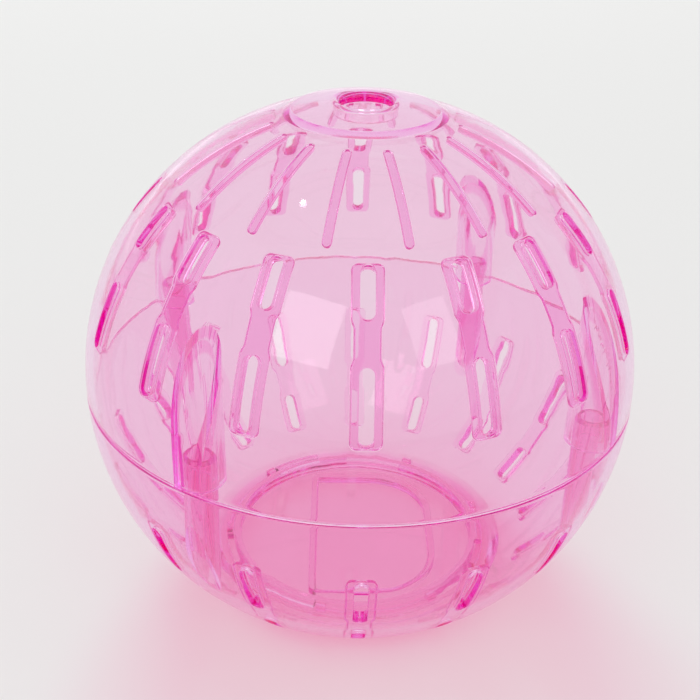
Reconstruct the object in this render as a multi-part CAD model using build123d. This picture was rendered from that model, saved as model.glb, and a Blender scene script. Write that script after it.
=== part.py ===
from build123d import *
from build123d.topology import SkipClean
import math
import os

# Hamster ball: two vented half shells that push together on posts and sleeves, and a twist lock door.
# Millimetres. The origin is the middle of the flat foot under the lower half, and +Z runs up the ball's axis.
# Shapes that repeat round the axis are drawn once, facing -Y, and then copied. Angles are in degrees, and a
# height on the ball is given as the angle above the seam, as latitude is.

# Ball
ball_radius = 60.0
wall = 1.6
rim_chamfer = 0.3
overrun = 2.0

# Vents, alike on both halves: two slots one above the other in a pad that is drawn in between them
vent_count = 16
slot_width = 2.8
low_slot_angles = (15.0, 28.6)
high_slot_angles = (36.6, 46.0)
pad_height = 0.7
pad_side = 1.5
pad_end = 0.6
pad_waist_width = 4.7
pad_taper = 1.4
pad_corner = 1.2

# Ribs inside the upper half, each above the gap between two vents
rib_angles = (49.4, 71.5)
rib_width = 1.6
rib_height = 1.0

# Hub at the top, a low step round a hole with a collar
hub_foot_radius = 16.8
hub_edge_radius = 15.0
hub_height = 0.5
hub_hole_radius = 5.25
hub_hole_round = 1.1
collar_wall = 1.1
collar_length = 1.8

# Posts on the lower half, and the sleeves round them inside the upper half
post_count = 4
post_vent_steps = 2.5
post_radius = 3.2
post_bore_radius = 2.1
post_reach = 6.0
post_lead = 0.5
post_wall_gap = 0.3
sleeve_clearance = 0.3
sleeve_wall = 1.3

# Foot ring and door seat of the lower half
door_opening_radius = 29.8
door_overlap = 1.6
foot_width = 1.6
ledge_thickness = 1.6

# Door: a plate under the ledge, a spigot through it and lugs on top of it. Seen from below, it turns
# anticlockwise from locked to the notches in the ledge, where the lugs drop out
door_plate = 1.6
door_setback = 0.3
door_seat_gap = 0.1
door_clearance = 0.3
spigot_wall = 1.4
lug_count = 3
lug_width_angle = 24.0
lug_reach = 1.6
lug_thickness = 1.4
lug_gap = 0.2
unlock_angle = 40.0
notch_side_angle = 2.0
stop_width_angle = 4.0
stop_gap_angle = 1.0

# Finger pocket of the door, a shallow D in plan, with its straight side towards -X
pocket_straight_side = 10.9
pocket_round_side = 19.0
pocket_half_length = 23.6
pocket_tight_corner = 2.4
pocket_round_corner = 15.5
pocket_rise = 1.7
pocket_wall = 1.4

# Worked out from the values above
inner_radius = ball_radius - wall
mid_radius = ball_radius - wall / 2
seat_radius = door_opening_radius + door_overlap
foot_radius = seat_radius + foot_width
seam_height = math.sqrt(ball_radius ** 2 - foot_radius ** 2)
seat_height = door_setback + door_plate + door_seat_gap
ledge_top = seat_height + ledge_thickness
lug_low = ledge_top + lug_gap
lug_top = lug_low + lug_thickness
vent_step = 360 / vent_count
ball_centre = Pos(0, 0, seam_height)
seam_plane = Plane.XY.offset(seam_height)
stations = [post_vent_steps * vent_step + 360 / post_count * turn for turn in range(post_count)]
post_circle = math.sqrt(inner_radius ** 2 - post_reach ** 2) - post_radius - post_wall_gap


def ball_angle(radius, distance):
    """Angle above the seam at which a ball of the given radius is this far from the axis."""
    return math.degrees(math.acos(distance / radius))


def side_of(radius, distance):
    """The other short side of a right triangle, with the radius as its long side."""
    return math.sqrt(radius ** 2 - distance ** 2)


def ball_arc(radius, start_angle, end_angle):
    """Arc of a ball's outline in the profile plane, between two angles above the seam."""
    return CenterArc((0, seam_height), radius, start_angle, end_angle - start_angle)


def ball_plane(angle, radius):
    """Plane that touches a ball on its -Y side, with its own y running up towards the pole."""
    away = Vector(0, -math.cos(math.radians(angle)), math.sin(math.radians(angle)))
    return Plane(Vector(0, 0, seam_height) + away * radius, x_dir=(1, 0, 0), z_dir=away)


def around(shape, angles):
    """Copies of a shape, turned about the ball's axis."""
    return [Rot(0, 0, angle) * shape for angle in angles]


def bay_of(profile):
    """The stretch of a shell with this profile that holds one vent, at -Y, and one rib place beside it."""
    return Rot(0, 0, -90 - vent_step / 4) * revolve(profile, Axis.Z, vent_step)


def ring_of_bays(bay):
    """Whole shell, from copies of one bay."""
    first, *rest = around(bay, [vent_step * place for place in range(vent_count)])
    return first + rest


def tube(outer_radius, bore_radius, low, high):
    """Upright tube on the -Y side, at the circle on which the posts stand."""
    upright = Cylinder(outer_radius, high - low, align=(Align.CENTER, Align.CENTER, Align.MIN))
    bore = Cylinder(bore_radius, high - low, align=(Align.CENTER, Align.CENTER, Align.MIN))
    return Pos(0, -post_circle, low) * (upright - bore)


def ring_block(inner, outer, width_angle, low, high):
    """Block between two radii on the +X side, as wide as the angle, between two heights."""
    start = -width_angle / 2
    ends = [math.radians(start), math.radians(-start)]
    corners = [[(r * math.cos(a), r * math.sin(a)) for r in (inner, outer)] for a in ends]
    edges = [
        CenterArc((0, 0), inner, start, width_angle),
        CenterArc((0, 0), outer, start, width_angle),
        Line(*corners[0]),
        Line(*corners[1]),
    ]
    return Pos(0, 0, low) * extrude(make_face(edges), high - low)


def vent_slots():
    """The two slots of one upper vent, each cut square to the wall at its own middle."""
    slots = []
    for low, high in (low_slot_angles, high_slot_angles):
        length = 2 * ball_radius * math.sin(math.radians((high - low) / 2))
        depth = wall + pad_height + 2 * overrun
        plane = ball_plane((low + high) / 2, ball_radius + overrun)
        slots.append(extrude(plane * SlotOverall(length, slot_width, rotation=90), -depth))
    return slots


def raised_on_wall(outline, angle, height):
    """Outline at an angle above the seam, raised from the inner face of the wall and rooted in it."""
    prism = extrude(ball_plane(angle, ball_radius) * outline, -ball_radius / 2)
    layer = ball_centre * (Sphere(mid_radius) - Sphere(inner_radius - height))
    return prism & layer


def vent_pad():
    """Pad round the two slots of one upper vent."""
    middle = (low_slot_angles[0] + high_slot_angles[1]) / 2

    def up(angle):
        return inner_radius * math.sin(math.radians(angle - middle))

    half_width = slot_width / 2 + pad_side
    half_waist = pad_waist_width / 2
    right_side = [
        (half_width, up(low_slot_angles[0]) - pad_end),
        (half_width, up(low_slot_angles[1])),
        (half_waist, up(low_slot_angles[1]) + pad_taper),
        (half_waist, up(high_slot_angles[0]) - pad_taper),
        (half_width, up(high_slot_angles[0])),
        (half_width, up(high_slot_angles[1]) + pad_end),
    ]
    left_side = [(-across, along) for across, along in reversed(right_side)]
    outline = make_face(Polyline(*right_side, *left_side, close=True))
    rows = outline.vertices().group_by(Axis.Y)
    return raised_on_wall(fillet(rows[0] + rows[-1], pad_corner), middle, pad_height)


def rib():
    """Thin rib with round ends."""
    low, high = rib_angles
    length = 2 * inner_radius * math.sin(math.radians((high - low) / 2))
    return raised_on_wall(SlotOverall(length, rib_width, rotation=90), (low + high) / 2, rib_height)


def upper_profile():
    """Half outline of the upper shell, from the seam over the hub and back along the inner face."""
    hub_radius = ball_radius + hub_height
    rim_edge = (side_of(ball_radius, rim_chamfer), seam_height + rim_chamfer)
    hub_foot = (hub_foot_radius, seam_height + side_of(ball_radius, hub_foot_radius))
    hub_edge = (hub_edge_radius, seam_height + side_of(hub_radius, hub_edge_radius))
    hole_top = (hub_hole_radius, seam_height + side_of(hub_radius, hub_hole_radius))
    collar_radius = hub_hole_radius + collar_wall
    collar_root = (collar_radius, seam_height + side_of(inner_radius, collar_radius))
    collar_low = collar_root[1] - collar_length
    outline = make_face([
        Line((inner_radius, seam_height), (ball_radius - rim_chamfer, seam_height)),
        Line((ball_radius - rim_chamfer, seam_height), rim_edge),
        ball_arc(ball_radius, 90 - ball_angle(ball_radius, rim_chamfer), ball_angle(ball_radius, hub_foot_radius)),
        Line(hub_foot, hub_edge),
        ball_arc(hub_radius, ball_angle(hub_radius, hub_edge_radius), ball_angle(hub_radius, hub_hole_radius)),
        Line(hole_top, (hub_hole_radius, collar_low)),
        Line((hub_hole_radius, collar_low), (collar_radius, collar_low)),
        Line((collar_radius, collar_low), collar_root),
        ball_arc(inner_radius, ball_angle(inner_radius, collar_radius), 0),
    ])
    return Plane.XZ * fillet(outline.vertices().sort_by(Axis.Y)[-1], hub_hole_round)


def lower_profile():
    """Half outline of the lower shell, from the seam down to the foot ring, round the ledge and back up."""
    rim_edge = (side_of(ball_radius, rim_chamfer), seam_height - rim_chamfer)
    ledge_root_radius = side_of(inner_radius, seam_height - ledge_top)
    return Plane.XZ * make_face([
        Line((inner_radius, seam_height), (ball_radius - rim_chamfer, seam_height)),
        Line((ball_radius - rim_chamfer, seam_height), rim_edge),
        ball_arc(ball_radius, ball_angle(ball_radius, rim_chamfer) - 90, -ball_angle(ball_radius, foot_radius)),
        Line((foot_radius, 0), (seat_radius, 0)),
        Line((seat_radius, 0), (seat_radius, seat_height)),
        Line((seat_radius, seat_height), (door_opening_radius, seat_height)),
        Line((door_opening_radius, seat_height), (door_opening_radius, ledge_top)),
        Line((door_opening_radius, ledge_top), (ledge_root_radius, ledge_top)),
        ball_arc(inner_radius, -ball_angle(inner_radius, ledge_root_radius), 0),
    ])


def upper_shell():
    """Upper half with its vents, ribs, hub and sleeves."""
    beside = Rot(0, 0, vent_step / 2) * rib()
    bay = bay_of(upper_profile()) + [vent_pad(), beside] - vent_slots()
    sleeve_bore = post_radius + sleeve_clearance
    sleeve = tube(sleeve_bore + sleeve_wall, sleeve_bore, seam_height, seam_height + ball_radius)
    sleeve = sleeve & (ball_centre * Sphere(mid_radius))
    return ring_of_bays(bay) + around(sleeve, stations)


def lower_shell():
    """Lower half with its vents, posts, foot ring and door seat."""
    bay = bay_of(lower_profile()) + mirror(vent_pad(), seam_plane)
    bay -= [mirror(slot, seam_plane) for slot in vent_slots()]
    post = tube(post_radius, post_bore_radius, 0, seam_height + post_reach)
    post = chamfer(post.edges().group_by(Axis.Z)[-1].sort_by(SortBy.LENGTH)[-1], post_lead)
    post = post & (ball_centre * Sphere(mid_radius))
    lugs = [360 / lug_count * place for place in range(lug_count)]
    lug_outer = door_opening_radius - door_clearance + lug_reach
    notch_angle = lug_width_angle + 2 * notch_side_angle
    notch = ring_block(door_opening_radius - overrun, lug_outer + door_clearance, notch_angle, 0, ledge_top + overrun)
    stop = ring_block(door_opening_radius + door_clearance, seat_radius, stop_width_angle, seat_height, lug_top)
    stop_turn = (lug_width_angle + stop_width_angle) / 2 + stop_gap_angle
    stop_turns = [stop_turn, -unlock_angle - stop_turn - notch_side_angle]
    stops = [angle + turn for angle in lugs for turn in stop_turns]
    shell = ring_of_bays(bay) + around(post, stations) + around(stop, stops)
    return shell - around(notch, [angle - unlock_angle for angle in lugs])


def pocket_outline(inset):
    """D outline of the finger pocket, drawn in all round by the inset."""
    left = inset - pocket_straight_side
    right = pocket_round_side - inset
    half = pocket_half_length - inset
    corners = make_face(Polyline((left, -half), (right, -half), (right, half), (left, half), close=True))
    rounded = fillet(corners.vertices().group_by(Axis.X)[-1], pocket_round_corner - inset)
    return fillet(rounded.vertices().group_by(Axis.X)[0], pocket_tight_corner - inset)


def door():
    """Door, with the finger pocket open below and its roof inside the ball."""
    standing = (Align.CENTER, Align.CENTER, Align.MIN)
    spigot_radius = door_opening_radius - door_clearance
    plate_top = door_setback + door_plate
    roof_top = plate_top + pocket_rise
    plate = Pos(0, 0, door_setback) * Cylinder(seat_radius - door_clearance, door_plate, align=standing)
    spigot = Cylinder(spigot_radius, lug_top - plate_top, align=standing)
    spigot -= Cylinder(spigot_radius - spigot_wall, lug_top - plate_top, align=standing)
    lug = ring_block(spigot_radius - spigot_wall / 2, spigot_radius + lug_reach, lug_width_angle, lug_low, lug_top)
    lugs = around(lug, [360 / lug_count * place for place in range(lug_count)])
    housing = Pos(0, 0, door_setback) * extrude(pocket_outline(0), roof_top - door_setback)
    hollow = extrude(pocket_outline(pocket_wall), roof_top - pocket_wall)
    return plate + Pos(0, 0, plate_top) * spigot + lugs + housing - hollow


# The bays keep their own faces in the ring, because one face right round a pierced wall can't be measured well
os.makedirs("parts", exist_ok=True)
with SkipClean():
    pieces = {"upper_shell": upper_shell(), "lower_shell": lower_shell(), "door": door()}
for name, piece in pieces.items():
    export_step(piece, f"parts/{name}.step")
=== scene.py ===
import math

import bmesh
import bpy
from bpy.props import FloatProperty, FloatVectorProperty, IntProperty, PointerProperty
from mathutils import Matrix, Vector, geometry, kdtree


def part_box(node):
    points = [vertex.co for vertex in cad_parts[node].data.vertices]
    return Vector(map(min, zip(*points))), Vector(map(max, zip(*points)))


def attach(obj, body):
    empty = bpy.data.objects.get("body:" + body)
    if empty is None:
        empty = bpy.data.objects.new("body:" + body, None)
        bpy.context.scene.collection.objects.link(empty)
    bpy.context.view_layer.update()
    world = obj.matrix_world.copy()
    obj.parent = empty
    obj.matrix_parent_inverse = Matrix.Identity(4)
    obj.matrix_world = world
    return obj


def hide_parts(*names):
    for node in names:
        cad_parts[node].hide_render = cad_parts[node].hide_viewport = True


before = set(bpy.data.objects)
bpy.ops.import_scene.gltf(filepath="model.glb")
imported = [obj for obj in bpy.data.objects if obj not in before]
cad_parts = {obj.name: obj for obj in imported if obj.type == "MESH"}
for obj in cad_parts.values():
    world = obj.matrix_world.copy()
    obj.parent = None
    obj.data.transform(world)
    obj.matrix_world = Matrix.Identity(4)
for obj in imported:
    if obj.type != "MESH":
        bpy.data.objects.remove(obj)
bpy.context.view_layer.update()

bl_info = {
    "name": "Hamster ball",
    "version": (1, 0, 0),
    "blender": (4, 5, 0),
    "location": "View3D > Sidebar > Hamster ball",
    "description": "Clear pink running ball: two vented half shells, a twist lock door and a studio stage",
    "category": "Object",
}

# The frame's own box, and the places in it that the pieces are drawn from
UPPER_LOW, UPPER_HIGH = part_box("upper_shell")
DOOR_LOW, DOOR_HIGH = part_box("door")
SEAM = UPPER_LOW.z
BALL_RADIUS = round((UPPER_HIGH.x - UPPER_LOW.x) / 2, 4)
DOOR_RADIUS = round((DOOR_HIGH.x - DOOR_LOW.x) / 2, 4)

MM = 0.001
SHARP_ANGLE = 38
WELD = MM / 1000
POST_COUNT = 4
POST_START = 56.25
LUG_COUNT = 3
LUG_TURNS = [2 * math.pi / LUG_COUNT * place for place in range(LUG_COUNT)]
SENSOR = 36.0
LIGHT_BOUNCES = 64
FLOOR_HALF = 3000
# The floor lies this far below the foot, so that their faces stay apart
FLOOR_DROP = 0.2
FLOOR_ROUGHNESS = 0.6
FLOOR_SHEEN = 0.2

# Faces along round ends, round corners, tubes, blocks, soft edges and turned profiles
SLOT_PARTS = 12
RIB_PARTS = 8
PAD_PARTS = 6
POCKET_PARTS = 10
TUBE_PARTS = 64
BLOCK_PARTS = 8
EDGE_PARTS = 3
EDGE_TURNS = [math.pi / 2 * part / EDGE_PARTS for part in range(EDGE_PARTS + 1)]
PROFILE_PARTS = 4
HUB_PARTS = 5
# A soft edge's rounding over this is the flat strip beside it
EDGE_HOLD = 3
# How many roundings from an edge the plain wall starts, and the same at the foot
EDGE_ROOM = 3
FOOT_ROOM = 2
# A notch's radius over this is how far it is cut into the opening
NOTCH_OVERCUT = 10
# Shares of the mesh step: room that new corners leave to a border, and what counts as one place
ROOM_SHARE = 0.7
SAME_SHARE = 1e-5

# Noise in the plastic, as scale and detail: flow of the moulding, grime and scratches
NOISES = ((45.0, 2.0), (130.0, 6.0), (900.0, 3.0))
HAZE_STOPS = ((0.5, 0.0), (0.75, 1.0))
SCUFF_STOPS = ((0.58, 0.0), (0.72, 1.0))
RIPPLE_STRENGTH = 0.25

# How deep the thick tint is, by distance from the ball's middle in millimetres: none on the wall's faces,
# some on the cut edges between them, and some or all on the pads and ribs inside them
WALL_STOPS = ((58.37, 0.0), (58.42, 0.0), (58.5, 0.6), (59.85, 0.6), (59.95, 0.0))
# The upper half adds the step of its hub
HUB_STOPS = ((60.04, 0.0), (60.1, 0.8), (60.42, 0.8), (60.47, 0.0))
UPPER_STOPS = ((57.0, 0.0), (57.3, 1.0), (58.28, 1.0), *WALL_STOPS, *HUB_STOPS)
LOWER_STOPS = ((57.0, 0.0), (57.3, 0.42), (58.28, 0.42), *WALL_STOPS)
# The same in the door by distance from a point far below it, so by height: ring and sides of the pocket
FAR_BELOW = 10000
DOOR_HEIGHTS = ((1.95, 0.0), (2.1, 0.22), (3.65, 0.22), (3.75, 0.0))
DOOR_STOPS = tuple((FAR_BELOW + height, value) for height, value in DOOR_HEIGHTS)
# Nearer to the middle than this, sleeves and posts have tints of their own
INSIDE = 57
# The thick tint is left out beside the seam, in the foot and round the hole in the hub
SEAM_PLAIN = 0.5
FOOT_PLAIN = 7
HUB_PLAIN = 9
# For each plastic: tint inside the wall, where distances start, plain height, plain radius and stops
TINT_PLANS = {
    "upper": ("sleeve_tint", SEAM, 0, HUB_PLAIN * MM, UPPER_STOPS),
    "lower": ("post_tint", SEAM, FOOT_PLAIN * MM, 0, LOWER_STOPS),
    "door": ("door_tint", -FAR_BELOW * MM, 0, 0, DOOR_STOPS),
}

# Lamps: turn and height in degrees, distance, width and height in millimetres, watts, if the ball shows it
LAMPS = (
    ("window_left", -27, 39, 1000, 400, 440, 0.8, True),
    ("window_right", 33, 37, 1000, 300, 420, 0.36, True),
    ("daylight", -172, 27, 7000, 3400, 3000, 475.0, False),
    ("small_lamp", -107, 70, 900, 28, 28, 0.10, True),
)


def length(name, description, millimetres):
    """Property for a length, given in millimetres."""
    return FloatProperty(name=name, description=description, default=millimetres * MM, unit="LENGTH",
                         precision=5)


def angle(name, description, degrees):
    """Property for an angle, given in degrees."""
    return FloatProperty(name=name, description=description, default=math.radians(degrees), subtype="ANGLE")


def number(name, description, default):
    """Property for a plain number."""
    return FloatProperty(name=name, description=description, default=default, precision=4)


def colour(name, description, default):
    """Property for a colour."""
    return FloatVectorProperty(name=name, description=description, default=default, subtype="COLOR",
                               min=0, max=1)


class BallShellSizes(bpy.types.PropertyGroup):
    """Sizes that both half shells share."""

    wall: length("Wall", "Thickness of the shells", 1.6)
    rim_round: length("Rim rounding", "Radius along the outer edge at the seam", 0.3)
    rim_gap: length("Rim gap", "Room that each half leaves at the seam", 0.03)
    edge_round: length("Edge rounding", "Radius along slots, pads and ribs", 0.2)
    vent_count: IntProperty(name="Vents", description="Vents round each half", default=16)
    slot_width: length("Slot width", "Width of a vent slot", 2.8)
    low_slot_start: angle("Low slot start", "Angle from the seam at which the long slot starts", 15.0)
    low_slot_end: angle("Low slot end", "Angle from the seam at which the long slot ends", 28.6)
    high_slot_start: angle("High slot start", "Angle from the seam at which the short slot starts", 36.6)
    high_slot_end: angle("High slot end", "Angle from the seam at which the short slot ends", 46.0)
    pad_height: length("Pad height", "How far a pad stands in from the wall", 0.7)
    pad_side: length("Pad side", "Width of a pad beside its slots", 1.5)
    pad_end: length("Pad end", "Length of a pad past its slots", 0.6)
    pad_waist: length("Pad waist", "Width of a pad between its slots", 4.7)
    pad_taper: length("Pad taper", "Length over which a pad draws in to its waist", 1.4)
    pad_corner: length("Pad corner", "Corner radius of a pad", 1.2)
    post_circle: length("Post circle", "Distance of the posts from the ball's axis", 54.59)
    post_radius: length("Post radius", "Radius of a post", 3.2)
    mesh_step: length("Mesh step", "Usual side of a triangle on the walls", 1.8)


class BallUpperSizes(bpy.types.PropertyGroup):
    """Sizes of the upper half alone."""

    rib_start: angle("Rib start", "Angle from the seam at which a rib starts", 49.4)
    rib_end: angle("Rib end", "Angle from the seam at which a rib ends", 71.5)
    rib_width: length("Rib width", "Width of a rib", 1.6)
    rib_height: length("Rib height", "How far a rib stands in from the wall", 1.0)
    hub_foot: length("Hub foot", "Radius at which the hub's step starts", 16.8)
    hub_edge: length("Hub edge", "Radius of the hub's top face", 15.0)
    hub_height: length("Hub height", "Height of the hub's step", 0.5)
    hub_round: length("Hub rounding", "Radius along the hub's step", 0.9)
    hole_radius: length("Hole radius", "Radius of the hole in the hub", 5.25)
    hole_round: length("Hole rounding", "Radius along the hole's outer edge", 1.1)
    collar_wall: length("Collar wall", "Wall of the collar under the hole", 1.1)
    collar_length: length("Collar length", "Length of the collar below the wall", 1.8)
    sleeve_clearance: length("Sleeve clearance", "Room between a post and its sleeve", 0.3)
    sleeve_wall: length("Sleeve wall", "Wall of a sleeve", 1.3)


class BallLowerSizes(bpy.types.PropertyGroup):
    """Sizes of the lower half alone."""

    post_bore: length("Post bore", "Radius of the hollow in a post", 2.1)
    post_reach: length("Post reach", "Height of a post above the seam", 6.0)
    post_lead: length("Post lead", "Chamfer at the top of a post", 0.5)
    opening_radius: length("Door opening", "Radius of the opening in the ledge", 29.8)
    seat_radius: length("Door seat", "Radius of the recess for the door", 31.4)
    foot_radius: length("Foot radius", "Outer radius of the foot ring", 33.0)
    seat_height: length("Seat height", "Height of the ledge's lower face", 2.0)
    ledge_top: length("Ledge top", "Height of the ledge's upper face", 3.6)


class BallDoorSizes(bpy.types.PropertyGroup):
    """Sizes of the door alone."""

    plate_low: length("Plate low", "Height of the plate's lower face", 0.3)
    plate_top: length("Plate top", "Height of the plate's upper face", 1.9)
    spigot_radius: length("Spigot radius", "Outer radius of the ring that stands in the opening", 29.5)
    spigot_wall: length("Spigot wall", "Wall of that ring", 1.4)
    lug_low: length("Lug low", "Height of the lugs' lower faces", 3.8)
    lug_top: length("Lug top", "Height of the lugs' upper faces", 5.2)
    lug_reach: length("Lug reach", "How far the lugs stand out from the ring", 1.6)
    lug_width: angle("Lug width", "Width of a lug round the door", 24.0)
    unlock_turn: angle("Unlock turn", "Turn of the door from locked to free", 40.0)
    notch_side: angle("Notch side", "Room beside a lug in its notch", 2.0)
    stop_width: angle("Stop width", "Width of a stop beside a lug", 4.0)
    stop_gap: angle("Stop gap", "Room between a lug and its stop", 1.0)
    side_gap: length("Side gap", "Room round the door", 0.3)
    pocket_straight: length("Pocket straight side", "Place of the pocket's straight side", 10.9)
    pocket_round: length("Pocket round side", "Place of the pocket's round side", 19.0)
    pocket_half: length("Pocket half length", "Half of the finger pocket's length", 23.6)
    pocket_tight_corner: length("Pocket tight corner", "Corner radius at the straight side", 2.4)
    pocket_round_corner: length("Pocket round corner", "Corner radius at the round side", 15.5)
    pocket_roof: length("Pocket roof", "Height of the finger pocket's roof", 3.6)
    pocket_wall: length("Pocket wall", "Wall of the finger pocket", 1.4)


class BallPlastic(bpy.types.PropertyGroup):
    """Look of the clear pink plastic."""

    dye_colour: colour("Dye", "Colour that passes through thick plastic", (0.997, 0.05, 0.88))
    upper_tint: colour("Upper tint", "Tint of one wall of the upper half", (1.0, 0.895, 0.946))
    upper_depth: number("Upper depth", "Absorption per metre in the upper half", 48.0)
    # The lower half's tint is deeper than the upper half's. Part of that is the half's own colour. Part is
    # painted shade: it stands in for the pink shade that the ball casts on the floor beneath it.
    lower_tint: colour("Lower tint", "Tint of one wall of the lower half", (1.0, 0.815, 0.919))
    lower_depth: number("Lower depth", "Absorption per metre in the lower half", 50.0)
    sleeve_tint: colour("Sleeves", "Tint of the sleeves in the upper half", (1.0, 0.965, 0.985))
    post_tint: colour("Posts", "Tint of the posts on the lower half", (1.0, 0.63, 0.865))
    door_tint: colour("Door tint", "Tint of the door's plate", (1.0, 0.93, 0.972))
    door_depth: number("Door depth", "Absorption per metre in the door", 55.0)
    thick_tint: colour("Thick parts", "Tint of pads, ribs and cut edges", (1.0, 0.455, 0.80))
    upper_cast: colour("Upper cast", "Tint of light that passes the upper half", (1.0, 0.95, 0.955))
    lower_cast: colour("Lower cast", "Tint of light that passes the lower half", (1.0, 0.905, 0.912))
    door_cast: colour("Door cast", "Tint of light that passes the door", (1.0, 0.875, 0.915))
    clarity: number("Clarity", "Share of the light that passes through clearly", 1.0)
    index: number("Refraction", "Refractive index of the plastic", 1.5)
    polish: number("Polish", "Roughness of a clean surface", 0.03)
    scuff: number("Scuffs", "Roughness that scuffs add", 0.10)
    ripple: length("Ripple", "Depth of the moulding's ripples", 0.02)


class BallStage(bpy.types.PropertyGroup):
    """Floor, light and camera."""

    floor_colour: colour("Floor", "Colour of the floor", (0.84, 0.835, 0.83))
    sky_colour: colour("Surround", "Colour of the room", (0.93, 0.94, 0.935))
    sky_strength: number("Surround strength", "Strength of the room's light", 0.52)
    seen_strength: number("Seen strength", "Brightness of the room where it is seen in the plastic", 0.93)
    lens: FloatProperty(name="Lens", description="Focal length of the camera", default=58.44, unit="CAMERA")
    azimuth: angle("Azimuth", "Camera's turn round the ball", -1.55)
    elevation: angle("Elevation", "Camera's height above the horizon", 29.41)
    distance: length("Distance", "Camera's distance from the ball's middle", 255.4)
    pan: number("Pan", "Camera's turn to the right, as a slope", -0.0085)
    tilt: number("Tilt", "Camera's turn upwards, as a slope", 0.0112)
    roll: angle("Roll", "Camera's roll", 1.52)


PROPERTY_GROUPS = {
    "ball_shells": BallShellSizes,
    "ball_upper": BallUpperSizes,
    "ball_lower": BallLowerSizes,
    "ball_door": BallDoorSizes,
    "ball_plastic": BallPlastic,
    "ball_stage": BallStage,
}


class Wire:
    """Shader socket that can stand in a sum. Its node method adds any other node."""

    def __init__(self, tree, socket=None):
        self.tree = tree
        self.socket = socket

    def node(self, kind, settings, sockets, output=0):
        made = self.tree.nodes.new(kind)
        for name, value in settings.items():
            if name == "stops":
                self.set_stops(made.color_ramp, value)
            else:
                setattr(made, name, value)
        for name, value in sockets.items():
            if isinstance(value, Wire):
                self.tree.links.new(value.socket, made.inputs[name])
            else:
                made.inputs[name].default_value = value
        return Wire(self.tree, made.outputs[output] if made.outputs else None)

    def beside(self, *names):
        """Wires from several outputs of the node that this one comes from."""
        return [Wire(self.tree, self.socket.node.outputs[name]) for name in names]

    @staticmethod
    def set_stops(ramp, stops):
        while len(ramp.elements) < len(stops):
            ramp.elements.new(0.5)
        for element, (place, value) in zip(ramp.elements, stops):
            element.position = place
            element.color = (value, value, value, 1)

    def maths(self, operation, first, second):
        return self.node("ShaderNodeMath", {"operation": operation}, {0: first, 1: second})

    def __add__(self, other):
        return self.maths("ADD", self, other)

    def __radd__(self, other):
        return self.maths("ADD", other, self)

    def __sub__(self, other):
        return self.maths("SUBTRACT", self, other)

    def __rsub__(self, other):
        return self.maths("SUBTRACT", other, self)

    def __mul__(self, other):
        return self.maths("MULTIPLY", self, other)

    def __rmul__(self, other):
        return self.maths("MULTIPLY", other, self)

    def __or__(self, other):
        return self.maths("MAXIMUM", self, other)

    def __gt__(self, other):
        return self.maths("GREATER_THAN", self, other)

    def __lt__(self, other):
        return self.maths("LESS_THAN", self, other)


def new_material(name):
    """Empty node material and a wire into its tree."""
    material = bpy.data.materials.new(name)
    material.use_nodes = True
    material.node_tree.nodes.clear()
    return material, Wire(material.node_tree)


def thick_mask(wire, place, reach, kind):
    """How deep the thick tint is at a place, by its reach from where the kind's distances start."""
    _, _, plain_height, plain_radius, stops = TINT_PLANS[kind]
    first = stops[0][0]
    span = stops[-1][0] - first
    shares = [((radius - first) / span, value) for radius, value in stops]
    reach_share = (reach - first * MM) * (1 / (span * MM))
    thick = wire.node("ShaderNodeValToRGB", {"stops": shares}, {"Fac": reach_share})
    across, along, height = wire.node("ShaderNodeSeparateXYZ", {}, {"Vector": place}).beside("X", "Y", "Z")
    off_hub = across * across + along * along > plain_radius ** 2
    off_seam = (height - SEAM) * (height - SEAM) > (SEAM_PLAIN * MM) ** 2
    return thick * off_hub * off_seam * (height > plain_height)


def clear_plastic(name, kind):
    """Clear pink moulded plastic: tinted through its depth, deeper where it is thick, with faint scuffs."""
    look = bpy.context.scene.ball_plastic
    tint, depth, cast = (getattr(look, f"{kind}_{trait}") for trait in ("tint", "depth", "cast"))
    inner, middle, *_ = TINT_PLANS[kind]
    material, wire = new_material(name)
    place = wire.node("ShaderNodeTexCoord", {}, {}, "Object")
    flow, grime, scratches = (
        wire.node("ShaderNodeTexNoise", {}, {"Vector": place, "Scale": scale, "Detail": detail}, "Fac")
        for scale, detail in NOISES)
    haze = wire.node("ShaderNodeValToRGB", {"stops": HAZE_STOPS}, {"Fac": grime})
    scuffs = wire.node("ShaderNodeValToRGB", {"stops": SCUFF_STOPS}, {"Fac": scratches})
    roughness = look.polish + look.scuff * haze * scuffs
    bump = wire.node("ShaderNodeBump", {}, {
        "Strength": RIPPLE_STRENGTH,
        "Distance": look.ripple,
        "Height": flow,
    }, "Normal")
    centre = (0, 0, middle)
    reach = wire.node("ShaderNodeVectorMath", {"operation": "DISTANCE"}, {0: place, 1: centre}, "Value")
    plain = wire.node("ShaderNodeMix", {"data_type": "RGBA"}, {
        "Factor": reach < INSIDE * MM,
        "A": (*tint, 1),
        "B": (*getattr(look, inner), 1),
    }, "Result")
    tinted = wire.node("ShaderNodeMix", {"data_type": "RGBA"}, {
        "Factor": thick_mask(wire, place, reach, kind),
        "A": plain,
        "B": (*look.thick_tint, 1),
    }, "Result")
    surface = wire.node("ShaderNodeBsdfPrincipled", {}, {
        "Base Color": tinted,
        "Roughness": roughness,
        "IOR": look.index,
        "Transmission Weight": look.clarity,
        "Normal": bump,
    })
    paths = wire.node("ShaderNodeLightPath", {}, {})
    shadow, scattered = paths.beside("Is Shadow Ray", "Is Diffuse Ray")
    clear = wire.node("ShaderNodeBsdfTransparent", {}, {"Color": (*cast, 1)})
    shown = wire.node("ShaderNodeMixShader", {}, {0: shadow | scattered, 1: surface, 2: clear})
    dye = wire.node("ShaderNodeVolumeAbsorption", {}, {"Color": (*look.dye_colour, 1), "Density": depth})
    wire.node("ShaderNodeOutputMaterial", {}, {"Surface": shown, "Volume": dye})
    return material


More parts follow.
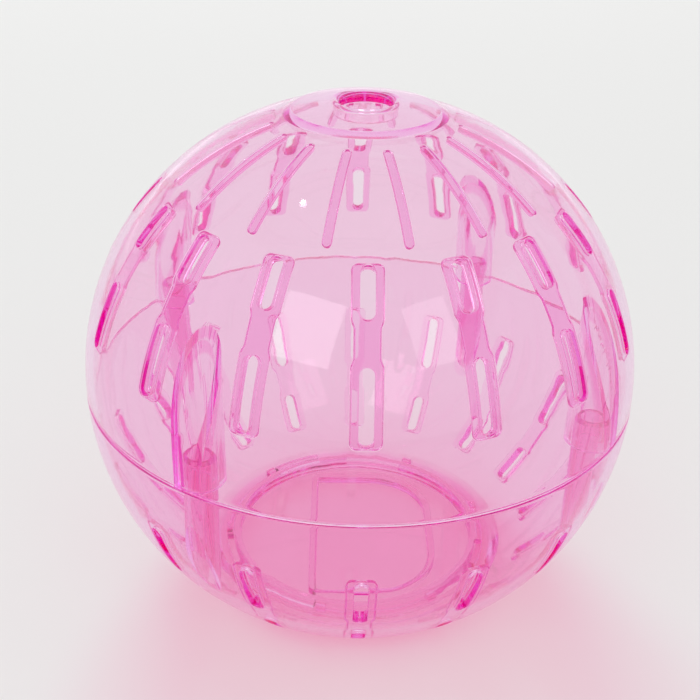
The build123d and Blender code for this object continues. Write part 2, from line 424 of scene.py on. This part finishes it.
class Outline:
    """Closed outline in a flat map: points, and the way each one moves when the outline grows."""

    def __init__(self, points, outwards, shift=None):
        self.points = points
        self.outwards = outwards
        self.shift = shift

    def grown(self, amount):
        flat = [point + outward * amount for point, outward in zip(self.points, self.outwards)]
        return [self.shift(point) for point in flat] if self.shift else flat


def spread(start, end, step):
    """Numbers from start to end in even steps, no longer than the step."""
    count = max(1, math.ceil(abs(end - start) / step))
    return [start + (end - start) * place / count for place in range(count + 1)]


def stadium(low, high, width, step, end_parts, shift=None):
    """Long outline with round ends, upright in the flat map, between two heights."""
    low_middle = Vector((0, low + width / 2))
    high_middle = Vector((0, high - width / 2))
    points = []
    outwards = []
    for middle, other, start in ((low_middle, high_middle, math.pi), (high_middle, low_middle, 0)):
        for part in range(end_parts + 1):
            turn = start + math.pi * part / end_parts
            outward = Vector((math.cos(turn), math.sin(turn)))
            points.append(middle + outward * (width / 2))
            outwards.append(outward)
        for share in spread(0, 1, step / (high_middle - low_middle).length)[1:-1]:
            points.append(middle.lerp(other, share) + outward * (width / 2))
            outwards.append(outward)
    return Outline(points, outwards, shift)


def rounded(corners, radii, step, parts):
    """Outline through corners in counterclockwise order, rounded where a radius is given."""
    count = len(corners)
    points = []
    outwards = []
    cuts = []
    for place in range(count):
        before, here, after = (Vector(corners[(place + k) % count]) for k in (-1, 0, 1))
        into = (here - before).normalized()
        onward = (after - here).normalized()
        turn = math.atan2(into.cross(onward), into.dot(onward))
        cuts.append((into, onward, turn, radii[place] * math.tan(abs(turn) / 2)))
    for place in range(count):
        here = Vector(corners[place])
        into, onward, turn, cut = cuts[place]
        side = Vector((into.y, -into.x))
        if radii[place]:
            centre = here - into * cut - side * radii[place]
            for part in range(parts + 1):
                outward = Matrix.Rotation(turn * part / parts, 2) @ side
                points.append(centre + outward * radii[place])
                outwards.append(outward)
        else:
            next_side = Vector((onward.y, -onward.x))
            points.append(here)
            outwards.append((side + next_side) / (1 + side.dot(next_side)))
        start = here + onward * cut
        end = Vector(corners[(place + 1) % count]) - onward * cuts[(place + 1) % count][3]
        for share in spread(0, 1, step / (end - start).length)[1:-1]:
            points.append(start.lerp(end, share))
            outwards.append(Vector((onward.y, -onward.x)))
    return Outline(points, outwards)


def soft_profile(corners, parts):
    """Open profile of (radius, height, rounding) corners, with arcs in place of the rounded ones."""
    points = []
    for place, (radius, height, rounding) in enumerate(corners):
        here = Vector((radius, height))
        if not rounding:
            points.append(here)
            continue
        into = (here - Vector(corners[place - 1][:2])).normalized()
        onward = (Vector(corners[place + 1][:2]) - here).normalized()
        turn = math.atan2(into.cross(onward), into.dot(onward))
        hand = math.copysign(1, turn)
        side = Vector((into.y, -into.x)) * hand
        centre = here - into * (rounding * math.tan(abs(turn) / 2)) - side * rounding
        for part in range(parts + 1):
            points.append(centre + Matrix.Rotation(turn * part / parts, 2) @ side * rounding)
    return points


def is_inside(point, loop):
    """True if a flat point lies inside a closed loop."""
    found = False
    last = loop[-1]
    for here in loop:
        if (here.y > point.y) != (last.y > point.y):
            if point.x < here.x + (point.y - here.y) * (last.x - here.x) / (last.y - here.y):
                found = not found
        last = here
    return found


class Draft:
    """Mesh drawn on a flat map, whose place function turns a flat point and a level into a place in space."""

    def __init__(self, place):
        self.mesh = bmesh.new()
        self.place = place

    def row(self, flat, level):
        """Corners along a list of flat points."""
        return [self.mesh.verts.new(self.place(point, level)) for point in flat]

    def ring(self, outline, steps):
        """Bands round an outline, through (growth, level) steps. Returns the first and last loop."""
        loops = [outline.grown(growth) for growth, _ in steps]
        rows = [self.row(loop, level) for loop, (_, level) in zip(loops, steps)]
        for near, far in zip(rows, rows[1:]):
            self.band(near + near[:1], far + far[:1])
        return (loops[0], rows[0]), (loops[-1], rows[-1])

    def band(self, near, far):
        """Faces between two rows of corners."""
        for place in range(len(near) - 1):
            self.mesh.faces.new((near[place], near[place + 1], far[place + 1], far[place]))

    def sheet(self, border, holes, level, step):
        """Even triangles inside a border and outside its holes, each a loop of flat points and corners."""
        flat = []
        corners = []
        edges = []
        for loop, row in (border, *holes):
            first = len(flat)
            count = len(loop)
            flat += loop
            corners += row
            edges += [(first + place, first + (place + 1) % count) for place in range(count)]

        def is_kept(point):
            return is_inside(point, border[0]) and not any(is_inside(point, loop) for loop, _ in holes)

        near = kdtree.KDTree(len(flat))
        for place, point in enumerate(flat):
            near.insert(point.to_3d(), place)
        near.balance()
        rise = step * math.sqrt(3) / 2
        lefts = [point.x for point in border[0]]
        heights = [point.y for point in border[0]]
        for line, height in enumerate(spread(min(heights), max(heights), rise)):
            for across in spread(min(lefts) + step / 2 * (line % 2), max(lefts), step):
                point = Vector((across, height))
                if near.find(point.to_3d())[2] > step * ROOM_SHARE and is_kept(point):
                    flat.append(point)
                    corners.append(self.mesh.verts.new(self.place(point, level)))
        found = geometry.delaunay_2d_cdt(flat, edges, [], 0, step * SAME_SHARE)
        for face in found[2]:
            middle = sum((found[0][corner] for corner in face), Vector((0, 0))) / len(face)
            if is_kept(middle):
                self.mesh.faces.new([corners[found[3][corner][0]] for corner in face])


def outer_edge(way, level, inward, rounding):
    """Steps over a convex edge, from the flat face to the upright wall, which lies out or in by the way."""
    steps = [(1 - math.sin(turn), 1 - math.cos(turn)) for turn in EDGE_TURNS]
    return [(way * (rounding * out), level + inward * rounding * rise) for out, rise in steps]


def inner_corner(level, inward, rounding):
    """Steps through a concave corner, from the upright wall down on to the flat face at a level."""
    steps = [(1 - math.cos(turn), 1 - math.sin(turn)) for turn in EDGE_TURNS]
    return [(rounding * out, level - inward * rounding * rise) for out, rise in steps]


def on_ball(side):
    """Place function of a half shell. Flat points are lengths across and along the front at full radius."""
    def place(point, radius):
        latitude = point.y / BALL_RADIUS
        longitude = point.x / (BALL_RADIUS * math.cos(latitude))
        ring = radius * math.cos(latitude)
        height = SEAM + side * radius * math.sin(latitude)
        return Vector((ring * math.sin(longitude), -ring * math.cos(longitude), height))
    return place


def side_of(radius, distance):
    """The other short side of a right triangle, with the radius as its long side."""
    return math.sqrt(radius ** 2 - distance ** 2)


class Bay:
    """One bay of a half shell, with one vent at -Y, drawn to be copied round the axis."""

    def __init__(self, side):
        self.sizes = bpy.context.scene.ball_shells
        self.side = side
        self.draft = Draft(on_ball(side))
        self.step = 2 * math.pi / self.sizes.vent_count
        parts = math.ceil(self.step * BALL_RADIUS / self.sizes.mesh_step)
        # The vent stands at no turn and the rib at half a step, so both lie well inside the bay
        self.turns = spread(-self.step / 4, self.step * 3 / 4, self.step / parts)
        self.inner = BALL_RADIUS - self.sizes.wall
        self.hold = self.sizes.edge_round / EDGE_HOLD

    def skin(self, end, radius, holes):
        """Wall face from the rim to an end, given by its distance from the axis. Returns its rows at both."""
        def at(turn, latitude):
            return Vector((turn * BALL_RADIUS * math.cos(latitude), latitude * BALL_RADIUS))

        low = math.asin(self.sizes.rim_round * EDGE_ROOM / radius)
        high = math.acos(end / radius)
        heights = spread(low, high, self.sizes.mesh_step / BALL_RADIUS)
        flat = [at(turn, low) for turn in self.turns]
        flat += [at(self.turns[-1], height) for height in heights[1:-1]]
        flat += [at(turn, high) for turn in reversed(self.turns)]
        flat += [at(self.turns[0], height) for height in reversed(heights[1:-1])]
        corners = self.draft.row(flat, radius)
        self.draft.sheet((flat, corners), holes, radius, self.sizes.mesh_step)
        first_high = len(self.turns) + len(heights) - 2
        return corners[:len(self.turns)], corners[first_high:first_high + len(self.turns)][::-1]

    def lathe(self, start, profile, end):
        """Bands through the points of a profile, from one row of corners to another."""
        rows = [start]
        for point in profile:
            places = [(point.x * math.sin(turn), -point.x * math.cos(turn), point.y) for turn in self.turns]
            rows.append([self.draft.mesh.verts.new(place) for place in places])
        rows.append(end)
        for near, far in zip(rows, rows[1:]):
            self.draft.band(near, far)

    def raised(self, outline, height):
        """Side of something that stands in from the wall. Returns its foot loop and its top loop."""
        soft = self.sizes.edge_round
        top = self.inner - height
        steps = [(-soft - self.hold, top)]
        steps += outer_edge(-1, top, 1, soft)
        steps += inner_corner(self.inner, 1, soft)
        steps.append((soft + self.hold, self.inner))
        top_loop, foot_loop = self.draft.ring(outline, steps)
        return foot_loop, top_loop

    def slot(self, start, end):
        """Wall of one slot. Returns its loops on the outer face and on the pad."""
        soft = self.sizes.edge_round
        top = self.inner - self.sizes.pad_height
        outline = stadium(start * BALL_RADIUS, end * BALL_RADIUS, self.sizes.slot_width,
                          self.sizes.mesh_step, SLOT_PARTS)
        steps = [(soft + self.hold, BALL_RADIUS)]
        steps += outer_edge(1, BALL_RADIUS, -1, soft)
        steps += reversed(outer_edge(1, top, 1, soft))
        steps.append((soft + self.hold, top))
        return self.draft.ring(outline, steps)

    def vent(self):
        """Pad with its two slots. Returns the slots' outer loops and the pad's foot loop."""
        sizes = self.sizes
        half = sizes.slot_width / 2 + sizes.pad_side
        waist = sizes.pad_waist / 2
        heights = [
            (half, sizes.low_slot_start * BALL_RADIUS - sizes.pad_end),
            (half, sizes.low_slot_end * BALL_RADIUS),
            (waist, sizes.low_slot_end * BALL_RADIUS + sizes.pad_taper),
            (waist, sizes.high_slot_start * BALL_RADIUS - sizes.pad_taper),
            (half, sizes.high_slot_start * BALL_RADIUS),
            (half, sizes.high_slot_end * BALL_RADIUS + sizes.pad_end),
        ]
        corners = heights + [(-across, along) for across, along in reversed(heights)]
        # Of the six corners up each side, only the first and the last are rounded
        radii = (sizes.pad_corner, 0, 0, 0, 0, sizes.pad_corner) * 2
        foot, top = self.raised(rounded(corners, radii, sizes.mesh_step, PAD_PARTS), sizes.pad_height)
        low_outer, low_inner = self.slot(sizes.low_slot_start, sizes.low_slot_end)
        high_outer, high_inner = self.slot(sizes.high_slot_start, sizes.high_slot_end)
        self.draft.sheet(top, [low_inner, high_inner], self.inner - sizes.pad_height, sizes.mesh_step)
        return [low_outer, high_outer], foot

    def rib(self, upper):
        """Rib beside the vent. Returns its foot loop."""
        turn = self.step / 2

        def shift(point):
            return Vector((point.x + turn * BALL_RADIUS * math.cos(point.y / BALL_RADIUS), point.y))

        outline = stadium(upper.rib_start * BALL_RADIUS, upper.rib_end * BALL_RADIUS, upper.rib_width,
                          self.sizes.mesh_step, RIB_PARTS, shift)
        foot, top = self.raised(outline, upper.rib_height)
        self.draft.sheet(top, [], self.inner - upper.rib_height, self.sizes.mesh_step)
        return foot

    def rim(self, outer_row, inner_row):
        """Rounded rim at the seam."""
        soft = self.sizes.rim_round
        level = SEAM + self.side * self.sizes.rim_gap
        start = SEAM + self.side * soft * EDGE_ROOM
        corners = [
            (BALL_RADIUS, start, 0),
            (BALL_RADIUS, level, soft),
            (self.inner, level, soft / 2),
            (self.inner, start, 0),
        ]
        self.lathe(outer_row, soft_profile(corners, PROFILE_PARTS)[1:-1], inner_row)

    def whole(self, name):
        """Object of the whole shell, from copies of the bay."""
        bay = bpy.data.meshes.new(name + "_bay")
        self.draft.mesh.to_mesh(bay)
        whole = bmesh.new()
        for _ in range(self.sizes.vent_count):
            whole.from_mesh(bay)
            bay.transform(Matrix.Rotation(self.step, 4, "Z"))
        bpy.data.meshes.remove(bay)
        return finished(name, whole)


def placed(name, data):
    """Object of some data, linked into the scene."""
    made = bpy.data.objects.new(name, data)
    bpy.context.scene.collection.objects.link(made)
    return made


def finished(name, drawn):
    """Object of a drawn mesh, with its seams closed and its faces turned outwards."""
    bmesh.ops.remove_doubles(drawn, verts=drawn.verts, dist=WELD)
    bmesh.ops.recalc_face_normals(drawn, faces=drawn.faces)
    mesh = bpy.data.meshes.new(name)
    drawn.to_mesh(mesh)
    drawn.free()
    return placed(name, mesh)


def combine(piece, tool, operation):
    """Joins a tool to a piece or cuts it out, and removes the tool."""
    change = piece.modifiers.new(operation, "BOOLEAN")
    change.operation = operation
    change.solver = "EXACT"
    change.object = tool
    graph = bpy.context.evaluated_depsgraph_get()
    mesh = bpy.data.meshes.new_from_object(piece.evaluated_get(graph))
    piece.modifiers.clear()
    piece.data = mesh
    bpy.data.objects.remove(tool)


def tubes(name, outer, bore, end, outer_cut, bore_cut, side):
    """Four upright tubes on the post circle, open at one height and rooted in the wall beyond it."""
    sizes = bpy.context.scene.ball_shells
    root_radius = BALL_RADIUS - sizes.wall / 2
    # Nothing reaches farther out than this, so each tube's root still lies beyond its open end
    widest = side_of(root_radius, 2 * sizes.wall)
    drawn = bmesh.new()
    for station in range(POST_COUNT):
        turn = math.radians(POST_START) + 2 * math.pi / POST_COUNT * station
        centre = Vector((math.sin(turn), -math.cos(turn))) * sizes.post_circle
        rings = [(outer, None), (outer, outer_cut), (outer - outer_cut, 0)]
        rings += [(bore + bore_cut, 0), (bore, bore_cut), (bore, None)]
        rows = []
        for radius, cut in rings:
            row = []
            for part in range(TUBE_PARTS):
                way = 2 * math.pi * part / TUBE_PARTS
                place = centre + Vector((math.cos(way), math.sin(way))) * radius
                place *= min(1, widest / place.length)
                root = SEAM + side * side_of(root_radius, place.length)
                row.append(drawn.verts.new((*place, root if cut is None else end + side * cut)))
            rows.append(row)
        for near, far in zip(rows, rows[1:] + rows[:1]):
            for part in range(TUBE_PARTS):
                after = (part + 1) % TUBE_PARTS
                drawn.faces.new((near[part], near[after], far[after], far[part]))
    return finished(name, drawn)


def arc_blocks(name, inner, outer, width, low, high, middles):
    """Blocks between two radii and two heights, as wide as an angle, at several turns from +X."""
    drawn = bmesh.new()
    for middle in middles:
        turns = [middle + width * (part / BLOCK_PARTS - 0.5) for part in range(BLOCK_PARTS + 1)]
        rows = []
        for radius, height in ((inner, low), (outer, low), (outer, high), (inner, high)):
            places = [(radius * math.cos(turn), radius * math.sin(turn), height) for turn in turns]
            rows.append([drawn.verts.new(place) for place in places])
        for near, far in zip(rows, rows[1:] + rows[:1]):
            for part in range(BLOCK_PARTS):
                drawn.faces.new((near[part], near[part + 1], far[part + 1], far[part]))
        for end in (0, -1):
            drawn.faces.new([row[end] for row in rows])
    return finished(name, drawn)


def dress(piece, body, node, slot, kind):
    """Smooths a piece, gives it its kind of plastic and sets it on its body in place of its node."""
    piece.data.shade_smooth()
    piece.data.set_sharp_from_angle(angle=math.radians(SHARP_ANGLE))
    piece.data.materials.clear()
    piece.data.materials.append(clear_plastic(slot + "_plastic", kind))
    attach(piece, body)
    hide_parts(node)


class BALL_OT_upper_half(bpy.types.Operator):
    """Builds the upper half shell with its vents, ribs, hub and sleeves"""

    bl_idname = "ball.upper_half"
    bl_label = "Upper half"

    def execute(self, context):
        shells = context.scene.ball_shells
        sizes = context.scene.ball_upper
        bay = Bay(1)
        slots, pad = bay.vent()
        rib = bay.rib(sizes)
        collar = sizes.hole_radius + sizes.collar_wall
        top_radius = BALL_RADIUS + sizes.hub_height
        hub_start = sizes.hub_foot + sizes.hub_round
        collar_start = collar + sizes.collar_wall
        outer_low, outer_high = bay.skin(hub_start, BALL_RADIUS, slots)
        inner_low, inner_high = bay.skin(collar_start, bay.inner, [pad, rib])
        bay.rim(outer_low, inner_low)
        collar_low = SEAM + side_of(bay.inner, collar) - sizes.collar_length
        soft = shells.edge_round
        corners = [(hub_start, SEAM + side_of(BALL_RADIUS, hub_start), 0),
                   (sizes.hub_foot, SEAM + side_of(BALL_RADIUS, sizes.hub_foot), sizes.hub_round),
                   (sizes.hub_edge, SEAM + side_of(top_radius, sizes.hub_edge), soft)]
        for radius in spread(sizes.hub_edge, sizes.hole_radius + sizes.hole_round, shells.mesh_step)[1:-1]:
            corners.append((radius, SEAM + side_of(top_radius, radius), 0))
        corners += [(sizes.hole_radius, SEAM + side_of(top_radius, sizes.hole_radius), sizes.hole_round),
                    (sizes.hole_radius, collar_low, soft),
                    (collar, collar_low, soft),
                    (collar, SEAM + side_of(bay.inner, collar), soft),
                    (collar_start, SEAM + side_of(bay.inner, collar_start), 0)]
        bay.lathe(outer_high, soft_profile(corners, HUB_PARTS)[1:-1], inner_high)
        piece = bay.whole("upper_half_shell")
        bore = shells.post_radius + sizes.sleeve_clearance
        end = SEAM + shells.rim_gap * 2
        sleeves = tubes("sleeves", bore + sizes.sleeve_wall, bore, end, soft, soft, 1)
        combine(piece, sleeves, "UNION")
        dress(piece, "upper_half", "upper_shell", "upper_half", "upper")
        return {"FINISHED"}


class BALL_OT_lower_half(bpy.types.Operator):
    """Builds the lower half shell with its vents, posts, foot ring and door seat"""

    bl_idname = "ball.lower_half"
    bl_label = "Lower half"

    def execute(self, context):
        shells = context.scene.ball_shells
        sizes = context.scene.ball_lower
        soft = shells.edge_round
        bay = Bay(-1)
        slots, pad = bay.vent()
        foot_start = sizes.foot_radius + soft * FOOT_ROOM
        ledge_root = side_of(bay.inner, SEAM - sizes.ledge_top)
        ledge_start = side_of(bay.inner, SEAM - sizes.ledge_top - soft * EDGE_ROOM)
        outer_low, outer_high = bay.skin(foot_start, BALL_RADIUS, slots)
        inner_low, inner_high = bay.skin(ledge_start, bay.inner, [pad])
        bay.rim(outer_low, inner_low)
        corners = [(foot_start, SEAM - side_of(BALL_RADIUS, foot_start), 0),
                   (sizes.foot_radius, 0, soft),
                   (sizes.seat_radius, 0, soft),
                   (sizes.seat_radius, sizes.seat_height, soft),
                   (sizes.opening_radius, sizes.seat_height, soft),
                   (sizes.opening_radius, sizes.ledge_top, soft),
                   (ledge_root, sizes.ledge_top, soft),
                   (ledge_start, sizes.ledge_top + soft * EDGE_ROOM, 0)]
        bay.lathe(outer_high, soft_profile(corners, PROFILE_PARTS)[1:-1], inner_high)
        piece = bay.whole("lower_half_shell")
        end = SEAM + sizes.post_reach
        posts = tubes("posts", shells.post_radius, sizes.post_bore, end, sizes.post_lead, soft, -1)
        combine(piece, posts, "UNION")
        door = context.scene.ball_door
        beside = (door.lug_width + door.stop_width) / 2 + door.stop_gap
        far_stop = -door.unlock_turn - beside - door.notch_side
        stop_turns = [turn + side for turn in LUG_TURNS for side in (beside, far_stop)]
        stops = arc_blocks("stops", sizes.opening_radius + door.side_gap, sizes.seat_radius, door.stop_width,
                           (sizes.seat_height + sizes.ledge_top) / 2, door.lug_top, stop_turns)
        combine(piece, stops, "UNION")
        reach = sizes.seat_radius - soft / EDGE_HOLD
        notch_turns = [turn - door.unlock_turn for turn in LUG_TURNS]
        notches = arc_blocks("notches", sizes.opening_radius - reach / NOTCH_OVERCUT, reach,
                             door.lug_width + 2 * door.notch_side, sizes.seat_height / 2, door.lug_top,
                             notch_turns)
        combine(piece, notches, "DIFFERENCE")
        dress(piece, "lower_half", "lower_shell", "lower_half", "lower")
        return {"FINISHED"}


class BALL_OT_door(bpy.types.Operator):
    """Builds the door with its finger pocket, ring and lugs"""

    bl_idname = "ball.door"
    bl_label = "Door"

    def execute(self, context):
        shells = context.scene.ball_shells
        sizes = context.scene.ball_door
        soft = shells.edge_round
        step = shells.mesh_step
        hold = soft / EDGE_HOLD
        draft = Draft(lambda point, level: Vector((point.x, point.y, level)))
        corners = [(sizes.pocket_round, -sizes.pocket_half), (sizes.pocket_round, sizes.pocket_half),
                   (-sizes.pocket_straight, sizes.pocket_half), (-sizes.pocket_straight, -sizes.pocket_half)]
        wide, tight = sizes.pocket_round_corner, sizes.pocket_tight_corner
        housing = rounded(corners, (wide, wide, tight, tight), step, POCKET_PARTS)
        steps = [(-soft - hold, sizes.pocket_roof)]
        steps += outer_edge(-1, sizes.pocket_roof, -1, soft)
        steps += inner_corner(sizes.plate_top, -1, soft)
        steps.append((soft + hold, sizes.plate_top))
        roof, housing_foot = draft.ring(housing, steps)
        draft.sheet(roof, [], sizes.pocket_roof, step)
        ceiling = sizes.pocket_roof - sizes.pocket_wall
        steps = [(soft + hold, sizes.plate_low)]
        steps += outer_edge(1, sizes.plate_low, 1, soft)
        # The corner under the roof is a floor's corner turned over
        steps += [(-out, 2 * ceiling - level) for out, level in inner_corner(ceiling, -1, soft)]
        steps.append((-soft - hold, ceiling))
        mouth, pocket_top = draft.ring(housing, [(out - sizes.pocket_wall, level) for out, level in steps])
        draft.sheet(pocket_top, [], ceiling, step)
        ring_bore = sizes.spigot_radius - sizes.spigot_wall
        profile = [(ring_bore - EDGE_ROOM * soft, sizes.plate_top, 0),
                   (ring_bore, sizes.plate_top, soft),
                   (ring_bore, sizes.lug_top, soft),
                   (sizes.spigot_radius, sizes.lug_top, soft),
                   (sizes.spigot_radius, sizes.plate_top, soft),
                   (DOOR_RADIUS, sizes.plate_top, soft),
                   (DOOR_RADIUS, sizes.plate_low, soft),
                   (DOOR_RADIUS - EDGE_ROOM * soft, sizes.plate_low, 0)]
        points = soft_profile(profile, PROFILE_PARTS)
        turns = spread(0, 2 * math.pi, step / DOOR_RADIUS)[:-1]
        ways = [Vector((math.cos(turn), math.sin(turn))) for turn in turns]
        circle = Outline([way * ring_bore for way in ways], ways)
        inside, rim = draft.ring(circle, [(point.x - ring_bore, point.y) for point in points])
        draft.sheet(inside, [housing_foot], sizes.plate_top, step)
        draft.sheet(rim, [mouth], sizes.plate_low, step)
        piece = finished("door_moulding", draft.mesh)
        lugs = arc_blocks("lugs", sizes.spigot_radius - sizes.spigot_wall / 2,
                          sizes.spigot_radius + sizes.lug_reach, sizes.lug_width, sizes.lug_low,
                          sizes.lug_top - hold, LUG_TURNS)
        combine(piece, lugs, "UNION")
        dress(piece, "door", "door", "door", "door")
        return {"FINISHED"}


class BALL_OT_stage(bpy.types.Operator):
    """Sets the floor, the light and the camera"""

    bl_idname = "ball.stage"
    bl_label = "Stage"

    def execute(self, context):
        scene = context.scene
        look = scene.ball_stage
        scene.view_settings.view_transform = "Standard"
        scene.cycles.max_bounces = LIGHT_BOUNCES
        scene.cycles.glossy_bounces = LIGHT_BOUNCES
        scene.cycles.transmission_bounces = LIGHT_BOUNCES
        scene.cycles.transparent_max_bounces = LIGHT_BOUNCES
        self.set_floor(look)
        self.set_world(scene, look)
        for lamp in LAMPS:
            self.add_lamp(*lamp)
        self.set_camera(scene, look)
        return {"FINISHED"}

    @staticmethod
    def set_floor(look):
        mesh = bpy.data.meshes.new("floor")
        half = FLOOR_HALF * MM
        drop = -FLOOR_DROP * MM
        ends = ((-half, -half), (half, -half), (half, half), (-half, half))
        mesh.from_pydata([(across, along, drop) for across, along in ends], [], [(0, 1, 2, 3)])
        floor = placed("floor", mesh)
        material, wire = new_material("pale_floor")
        surface = wire.node("ShaderNodeBsdfPrincipled", {}, {
            "Base Color": (*look.floor_colour, 1),
            "Roughness": FLOOR_ROUGHNESS,
            "Specular IOR Level": FLOOR_SHEEN,
        })
        wire.node("ShaderNodeOutputMaterial", {}, {"Surface": surface})
        mesh.materials.append(material)

    @staticmethod
    def set_world(scene, look):
        world = bpy.data.worlds.new("pale_room")
        world.use_nodes = True
        world.node_tree.nodes.clear()
        scene.world = world
        wire = Wire(world.node_tree)
        paths = wire.node("ShaderNodeLightPath", {}, {})
        camera, glossy, through = paths.beside("Is Camera Ray", "Is Glossy Ray", "Is Transmission Ray")
        tone = (*look.sky_colour, 1)
        lit = wire.node("ShaderNodeBackground", {}, {"Color": tone, "Strength": look.sky_strength})
        seen = wire.node("ShaderNodeBackground", {}, {"Color": tone, "Strength": look.seen_strength})
        shown = wire.node("ShaderNodeMixShader", {}, {0: camera | glossy | through, 1: lit, 2: seen})
        wire.node("ShaderNodeOutputWorld", {}, {"Surface": shown})

    @staticmethod
    def add_lamp(name, turn, height, distance, width, tall, watts, is_shown):
        lamp = bpy.data.lights.new(name, "AREA")
        lamp.shape = "RECTANGLE"
        lamp.size = width * MM
        lamp.size_y = tall * MM
        lamp.energy = watts
        made = placed(name, lamp)
        back = away(math.radians(turn), math.radians(height))
        made.location = Vector((0, 0, SEAM)) + back * (distance * MM)
        made.rotation_mode = "QUATERNION"
        made.rotation_quaternion = back.to_track_quat("Z", "Y")
        made.visible_camera = False
        made.visible_glossy = is_shown
        made.visible_transmission = is_shown

    @staticmethod
    def set_camera(scene, look):
        camera = bpy.data.cameras.new("camera")
        camera.lens = look.lens
        camera.sensor_width = SENSOR
        camera.clip_start = MM
        made = placed("camera", camera)
        back = away(look.azimuth, look.elevation)
        right = Vector((0, 0, 1)).cross(back).normalized()
        up = back.cross(right)
        forward = (look.pan * right + look.tilt * up - back).normalized()
        right = forward.cross(up).normalized()
        up = right.cross(forward)
        rolled = math.cos(look.roll) * right + math.sin(look.roll) * up
        upright = math.cos(look.roll) * up - math.sin(look.roll) * right
        turned = Matrix((rolled, upright, -forward)).transposed().to_4x4()
        made.matrix_world = Matrix.Translation(Vector((0, 0, SEAM)) + back * look.distance) @ turned
        scene.camera = made


def away(turn, height):
    """Direction from the ball's middle, at a turn from -Y towards +X and a height above the horizon."""
    return Vector((math.sin(turn) * math.cos(height), -math.cos(turn) * math.cos(height), math.sin(height)))


class BALL_PT_panel(bpy.types.Panel):
    """Lists the pieces of the ball"""

    bl_idname = "BALL_PT_panel"
    bl_label = "Hamster ball"
    bl_space_type = "VIEW_3D"
    bl_region_type = "UI"
    bl_category = "Hamster ball"

    def draw(self, context):
        for operator in OPERATORS:
            self.layout.operator(operator.bl_idname)


OPERATORS = (BALL_OT_upper_half, BALL_OT_lower_half, BALL_OT_door, BALL_OT_stage)
CLASSES = (*PROPERTY_GROUPS.values(), *OPERATORS, BALL_PT_panel)


def register():
    for one in CLASSES:
        bpy.utils.register_class(one)
    for name, group in PROPERTY_GROUPS.items():
        setattr(bpy.types.Scene, name, PointerProperty(type=group))


def unregister():
    for name in PROPERTY_GROUPS:
        delattr(bpy.types.Scene, name)
    for one in reversed(CLASSES):
        bpy.utils.unregister_class(one)


def main():
    """Builds every piece and the stage."""
    register()
    bpy.ops.ball.upper_half()
    bpy.ops.ball.lower_half()
    bpy.ops.ball.door()
    bpy.ops.ball.stage()


if __name__ == "__main__":
    main()
